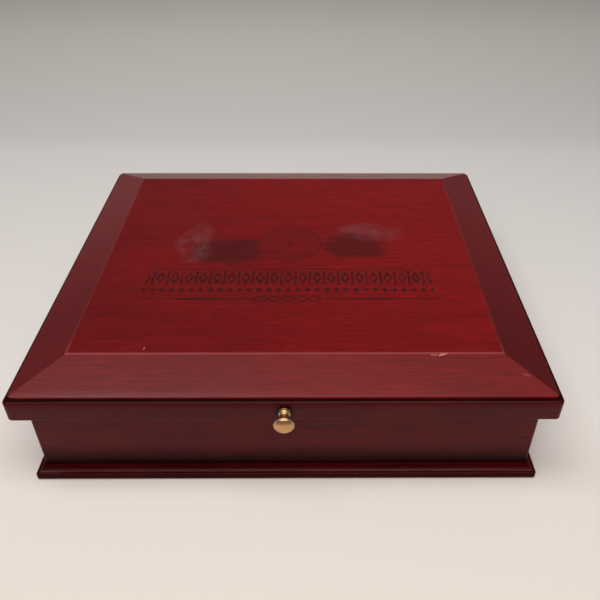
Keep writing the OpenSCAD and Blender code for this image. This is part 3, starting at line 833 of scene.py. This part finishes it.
class SetStage(CaseOperator):
    """Lays the floor, hangs the lights and sets the camera"""

    bl_idname = "presentation_case.set_stage"
    bl_label = "Set the Stage"

    key_light = {"place": (-0.05, -0.25, 1.25), "size": (1.4, 0.5), "colour": (1.0, 0.975, 0.95)}
    fill_light = {"place": (-0.10, -1.20, 1.15), "size": (1.4, 0.6), "colour": (1.0, 0.94, 0.88)}
    camera_place = (0.0143, -0.3905, 0.3427)
    camera_angles = (35.507, 0.545, 0.277)  # down, to the right and tilted, in degrees
    camera_shift = (-0.02415, -0.05137)

    def execute(self, context):
        stage = self.settings.stage
        self.lay_floor()
        self.hang_light("Key", stage.key_power, **self.key_light)
        self.hang_light("Fill", stage.fill_power, **self.fill_light)
        world = bpy.data.worlds.new("Room")
        world.use_nodes = True
        back = world.node_tree.nodes["Background"]
        back.inputs["Color"].default_value = (1.0, 0.97, 0.94, 1)
        back.inputs["Strength"].default_value = stage.room_light
        context.scene.world = world
        context.scene.view_settings.view_transform = "Standard"
        self.set_camera(context, stage)
        return {"FINISHED"}

    def lay_floor(self):
        g = Graph("Pale_Paper")
        at = g.place()
        y = g.split(at)[1]
        # The paper's colour carries painted light: warmer and brighter at the front, as under the
        # fill light, darker from 325 mm back, where a backdrop would rise in shade, and lighter
        # again far back, against the lamps' falloff.
        colour = g.mix(g.fade(y, -330.0, 100.0), (0.80, 0.72, 0.66), (0.755, 0.73, 0.72))
        colour = g.mix(g.fade(y, 325.0, 390.0), colour, (0.700, 0.684, 0.668))
        colour = g.mix(g.fade(y, 390.0, 950.0), colour, (0.855, 0.845, 0.800))
        tooth = g.noise(at, 0.8, detail=3)
        colour = g.mix(g.fade(tooth, 0.3, 0.7, 0, 0.03), colour, (0.5, 0.48, 0.46))
        paper = g.finish(
            Base_Color=colour, Roughness=0.85, Specular_IOR_Level=0.2,
            Normal=g.bump(tooth, 0.00005, 0.3))
        mesh = bpy.data.meshes.new("Floor")
        bm = bmesh.new()
        bmesh.ops.create_grid(bm, x_segments=8, y_segments=8, size=6.0)
        bm.to_mesh(mesh)
        bm.free()
        floor = bpy.data.objects.new("Floor", mesh)
        bpy.context.scene.collection.objects.link(floor)
        paint(floor, paper)

    def hang_light(self, name, power, place, size, colour):
        light = bpy.data.lights.new(name, "AREA")
        light.shape, light.size, light.size_y = "RECTANGLE", *size
        light.energy, light.color = power, colour
        lamp = bpy.data.objects.new(name, light)
        lamp.location = place
        lamp.rotation_euler = (-Vector(place)).to_track_quat("-Z", "Y").to_euler()
        bpy.context.scene.collection.objects.link(lamp)

    def set_camera(self, context, stage):
        data = bpy.data.cameras.new("Camera")
        data.lens, data.sensor_width = stage.focal_length, 36.0
        data.shift_x, data.shift_y = self.camera_shift
        data.clip_start, data.clip_end = 0.01, 50
        camera = bpy.data.objects.new("Camera", data)
        context.scene.collection.objects.link(camera)
        pitch, yaw, roll = (math.radians(a) for a in self.camera_angles)
        ahead = Vector((math.sin(yaw) * math.cos(pitch), math.cos(yaw) * math.cos(pitch),
                        -math.sin(pitch)))
        right = Vector((math.cos(yaw), -math.sin(yaw), 0))
        up = right.cross(ahead)
        right, up = (right * math.cos(roll) + up * math.sin(roll),
                     up * math.cos(roll) - right * math.sin(roll))
        turn = Matrix((right, up, -ahead)).transposed().to_4x4()
        camera.matrix_world = Matrix.Translation(self.camera_place) @ turn
        context.scene.camera = camera


class FinishWalls(CaseOperator):
    """Stains the case walls and finishes what holds them together"""

    bl_idname = "presentation_case.finish_walls"
    bl_label = "Finish the Walls"

    def execute(self, context):
        look = self.settings.finish
        lengthwise = stained_wood("Cherry_Wall_Lengthwise", "X", look, **WALL_LACQUER)
        crosswise = stained_wood("Cherry_Wall_Crosswise", "Y", look, **WALL_LACQUER)
        for name in ("front_wall", "back_wall"):
            finish_node(name, lengthwise, look.ease)
        for name in ("left_wall", "right_wall"):
            finish_node(name, crosswise, look.ease)
        inner = plain_wood("Plain_Wood_Lengthwise", "X")
        for name in ("case_corner_splines", "bottom_panel"):
            finish_node(name, inner)
        for name in nodes_named("tray_runner"):
            finish_node(name, plain_wood("Plain_" + name, "Y"), look.ease)
        return {"FINISHED"}


class FinishPlinth(CaseOperator):
    """Stains the plinth moulding"""

    bl_idname = "presentation_case.finish_plinth"
    bl_label = "Finish the Plinth"

    def execute(self, context):
        look = self.settings.finish
        for name, axis in FOUR_SIDES:
            wood = stained_wood("Cherry_Plinth_" + name, axis, look, **PLINTH_LACQUER)
            finish_node("plinth_" + name, wood, look.ease * 0.4, segments=2)
        return {"FINISHED"}


class FinishLidRails(CaseOperator):
    """Stains the lid's four rails"""

    bl_idname = "presentation_case.finish_lid_rails"
    bl_label = "Finish the Lid Rails"

    def execute(self, context):
        look = self.settings.finish
        for name, axis in FOUR_SIDES:
            part = "front rail" if name == "front" else "rail"
            wood = stained_wood("Cherry_Rail_" + name, axis, look, part=part, **RAIL_LACQUER)
            finish_node("lid_rail_" + name, wood, look.ease * 0.5)
        finish_node("lid_corner_splines", plain_wood("Plain_Spline", "X"))
        return {"FINISHED"}


class FinishLidBoard(CaseOperator):
    """Stains the bevelled board, and prints its ornament"""

    bl_idname = "presentation_case.finish_lid_board"
    bl_label = "Finish the Lid Board"

    def execute(self, context):
        look = self.settings.finish
        wood = stained_wood("Cherry_Board", "X", look, part="board", **BOARD_LACQUER)
        finish_node("lid_board", wood, look.ease * 2.0, limit=10.0, segments=4)
        return {"FINISHED"}


class FinishMetal(CaseOperator):
    """Finishes the knob, the hinges and the catches"""

    bl_idname = "presentation_case.finish_metal"
    bl_label = "Finish the Metal"

    def execute(self, context):
        look = self.settings.finish
        brass = tuple(look.brass)
        dull = shaded(brass, 0.72)
        finish_node("knob", metal("Brass_Knob", brass, dull, 0.31, turned=True))
        plate = metal("Brass_Hinge", brass, dull, 0.30)
        for name in nodes_named("left_hinge", "right_hinge"):
            ease = 0.0 if name.endswith("pin") else 0.12 * MM
            finish_node(name, plate, ease, limit=50.0, segments=2)
        for name in ("case_hinge_screws", "lid_hinge_screws"):
            finish_node(name, metal("Brass_" + name, brass, dull, 0.22), 0.05 * MM, 50.0, 1)
        steel = metal("Bright_Steel", (0.62, 0.62, 0.63), (0.45, 0.45, 0.46), 0.25)
        for name in ("catch_magnets", "catch_plates", "knob_screw"):
            finish_node(name, steel, 0.15 * MM, 50.0, 2)
        return {"FINISHED"}


class FinishTrays(CaseOperator):
    """Covers both trays in velvet"""

    bl_idname = "presentation_case.finish_trays"
    bl_label = "Cover the Trays"

    def execute(self, context):
        pile = velvet("Black_Velvet", tuple(self.settings.soft.velvet))
        for name in nodes_named("lower_tray", "upper_tray"):
            if not name.endswith("ribbons"):
                finish_node(name, pile, 0.7 * MM)
        lay_sheet("floor_lining", "floor_velvet", pile, 0.22 * MM)
        return {"FINISHED"}


class MakeRibbons(CaseOperator):
    """Makes the woven ribbons that lift each tray"""

    bl_idname = "presentation_case.make_ribbons"
    bl_label = "Make the Ribbons"

    thickness = 0.35 * MM
    turn_radius = 1.0 * MM
    turn_drop = 1.2 * MM
    over_rim = 5.2 * MM
    tail = 20.0 * MM
    notch = 3.2 * MM

    def execute(self, context):
        cloth = woven("Woven_Ribbon", tuple(self.settings.soft.ribbon), 0.5, "X", 0.15)
        for tray in ("lower_tray", "upper_tray"):
            low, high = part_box(tray + "_ribbons")
            pieces = [self.make_one(tray, side, low, high, cloth) for side in (-1, 1)]
            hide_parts(tray + "_ribbons")
        return {"FINISHED"}

    def make_one(self, tray, side, low, high, cloth):
        """Follows the seat up the rim, turns over it, and lies on the middle divider."""
        outer, width = high.x - 0.25 * MM, high.y - low.y
        top = high.z - 0.45 * MM
        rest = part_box(tray + "_side_rims")[1].z - 1.75 * MM
        turn, bend = self.turn_radius, top - self.turn_drop
        path = [(outer, low.z), (outer, bend)]
        path += [(outer - turn * (1 - math.cos(a)), bend + turn * math.sin(a))
                 for a in (math.radians(d) for d in range(15, 91, 15))]
        over = outer - self.over_rim
        steps = 22
        for i in range(1, steps + 1):
            t = i / steps
            x = outer - turn + t * (over - self.tail - outer)
            fall = min(1.0, max(0.0, (over - x) / (4.0 * MM)))
            droop = fall * fall * (3 - 2 * fall)
            curl = 0.5 * MM * math.sin(t * math.pi) * fall + 0.9 * MM * max(0.0, t - 0.8) * 4 * t
            path.append((x, top - 0.2 * MM + droop * (rest - top + 0.2 * MM) + curl))
        verts, faces, across = [], [], 8
        for i, (x, z) in enumerate(path):
            last = i == len(path) - 1
            for j in range(across + 1):
                u = j / across * 2 - 1
                notch = self.notch * (1 - abs(u)) if last else 0.0
                sag = -0.25 * MM * abs(u) ** 3 if i > 10 else 0.0
                verts.append((side * (x + notch), u * width / 2, z + sag))
        for i in range(len(path) - 1):
            for j in range(across):
                a = i * (across + 1) + j
                faces.append((a, a + 1, a + across + 2, a + across + 1))
        name = f"{tray}_ribbon_{'left' if side < 0 else 'right'}"
        piece = new_piece(name, verts, faces, cloth, tray)
        solid = piece.modifiers.new("Thickness", "SOLIDIFY")
        solid.thickness, solid.offset = self.thickness, 0.0
        return piece


class MakeLining(CaseOperator):
    """Pads and covers the inside of the lid"""

    bl_idname = "presentation_case.make_lining"
    bl_label = "Make the Lid Lining"

    frames = 20
    surplus = 0.018
    reach = 2.4 * MM
    border = 5 * MM
    gap = 0.4 * MM

    def execute(self, context):
        soft = self.settings.soft
        satin = woven("Cream_Satin", tuple(soft.satin), 0.42, "X", 0.35, 0.30, 0.07)
        pad = self.make_block(soft.pad_grid, satin)
        self.fill(pad, soft.pad_pressure)
        smooth = pad.modifiers.new("Smooth", "SUBSURF")
        smooth.levels = smooth.render_levels = 1
        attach(pad, "lid")
        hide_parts("lid_lining")
        return {"FINISHED"}

    def make_block(self, cells, satin):
        """A flat closed pad, a little smaller than its place, with a rounded border."""
        low, high = LINING_LOW.copy(), LINING_HIGH.copy()
        size = high - low
        across, deep = cells, round(cells * size.y / size.x)
        bm = bmesh.new()
        rows = {}
        for layer in (0, 1):
            for i in range(across + 1):
                for j in range(deep + 1):
                    u, v = i / across * 2 - 1, j / deep * 2 - 1
                    edge = min(1 - abs(u), (1 - abs(v)) * size.y / size.x) * size.x / 2
                    round_off = max(0.0, 1 - edge / self.border)
                    z = high.z
                    if layer == 0:
                        z -= (size.z - 1.0 * MM) * (1 - 0.45 * round_off**2)
                    x = (low.x + high.x) / 2 + u * (size.x / 2 - self.gap)
                    y = (low.y + high.y) / 2 + v * (size.y / 2 - self.gap)
                    rows[layer, i, j] = bm.verts.new((x, y, z))
        for i in range(across):
            for j in range(deep):
                for layer, step in ((0, 1), (1, -1)):
                    corners = [rows[layer, i, j], rows[layer, i, j + 1],
                               rows[layer, i + 1, j + 1], rows[layer, i + 1, j]]
                    bm.faces.new(corners[::step])
        rim = [(i, 0) for i in range(across)] + [(across, j) for j in range(deep)]
        rim += [(i, deep) for i in range(across, 0, -1)] + [(0, j) for j in range(deep, 0, -1)]
        for a, b in zip(rim, rim[1:] + rim[:1]):
            bm.faces.new([rows[0, *a], rows[0, *b], rows[1, *b], rows[1, *a]])
        bmesh.ops.recalc_face_normals(bm, faces=bm.faces)
        mesh = bpy.data.meshes.new("lid_lining_pad")
        bm.to_mesh(mesh)
        bm.free()
        for face in mesh.polygons:
            face.use_smooth = True
        pad = bpy.data.objects.new("lid_lining_pad", mesh)
        bpy.context.scene.collection.objects.link(pad)
        paint(pad, satin)
        return pad

    def fill(self, pad, pressure):
        """Fills the pad by cloth simulation, with its back glued to the board."""
        glued = pad.vertex_groups.new(name="glued")
        top = max(v.co.z for v in pad.data.vertices)
        glued.add([v.index for v in pad.data.vertices if v.co.z > top - 0.01 * MM], 1.0, "ADD")
        start = np.array([v.co for v in pad.data.vertices])
        cloth = pad.modifiers.new("Cloth", "CLOTH")
        settings = cloth.settings
        settings.quality = 6
        settings.mass = 0.15
        settings.tension_stiffness = settings.compression_stiffness = 12
        settings.bending_stiffness = 0.4
        settings.use_pressure = True
        settings.uniform_pressure_force = pressure
        settings.vertex_group_mass = "glued"
        settings.effector_weights.gravity = 0
        settings.shrink_min = -self.surplus
        cloth.collision_settings.use_collision = False
        scene = bpy.context.scene
        for step in range(1, self.frames + 1):
            scene.frame_set(step)
        graph = bpy.context.evaluated_depsgraph_get()
        filled = pad.evaluated_get(graph).to_mesh()
        end = np.array([v.co for v in filled.vertices])
        pad.evaluated_get(graph).to_mesh_clear()
        move = end - start
        far = np.linalg.norm(move, axis=1, keepdims=True)
        move *= np.minimum(1.0, self.reach / np.maximum(far, 1e-9))
        end = start + move
        low, high = LINING_LOW, LINING_HIGH
        end[:, 0] = np.clip(end[:, 0], low.x, high.x)
        end[:, 1] = np.clip(end[:, 1], low.y, high.y)
        end[:, 2] = np.clip(end[:, 2], low.z - 0.6 * MM, high.z)
        pad.modifiers.remove(cloth)
        pad.data.vertices.foreach_set("co", end.ravel())
        pad.data.update()
        scene.frame_set(1)


class FinishFelt(CaseOperator):
    """Lays the felt under the plinth"""

    bl_idname = "presentation_case.finish_felt"
    bl_label = "Lay the Felt"

    def execute(self, context):
        felt = felted("Green_Felt", tuple(self.settings.soft.felt))
        lay_sheet("base_felt", "felt_foot", felt, 0.12 * MM)
        return {"FINISHED"}


OPERATORS = (
    SetStage,
    FinishWalls,
    FinishPlinth,
    FinishLidRails,
    FinishLidBoard,
    FinishMetal,
    FinishTrays,
    MakeRibbons,
    MakeLining,
    FinishFelt,
)


class CasePanel(Panel):
    """Lists the steps that finish the case."""

    bl_idname = "VIEW3D_PT_presentation_case"
    bl_label = "Presentation Case"
    bl_space_type = "VIEW_3D"
    bl_region_type = "UI"
    bl_category = "Case"

    def draw(self, context):
        for operator in OPERATORS:
            self.layout.operator(operator.bl_idname)
        settings = context.scene.presentation_case
        for group in (settings.finish, settings.soft, settings.stage):
            box = self.layout.box()
            for name in group.__annotations__:
                box.prop(group, name)


CLASSES = (CaseFinish, CaseSoftGoods, CaseStage, CaseSettings, *OPERATORS, CasePanel)


def register():
    for cls in CLASSES:
        bpy.utils.register_class(cls)
    bpy.types.Scene.presentation_case = PointerProperty(type=CaseSettings)


def unregister():
    del bpy.types.Scene.presentation_case
    for cls in reversed(CLASSES):
        bpy.utils.unregister_class(cls)


def main():
    register()
    for operator in OPERATORS:
        group, name = operator.bl_idname.split(".")
        getattr(getattr(bpy.ops, group), name)()


if __name__ == "__main__":
    main()
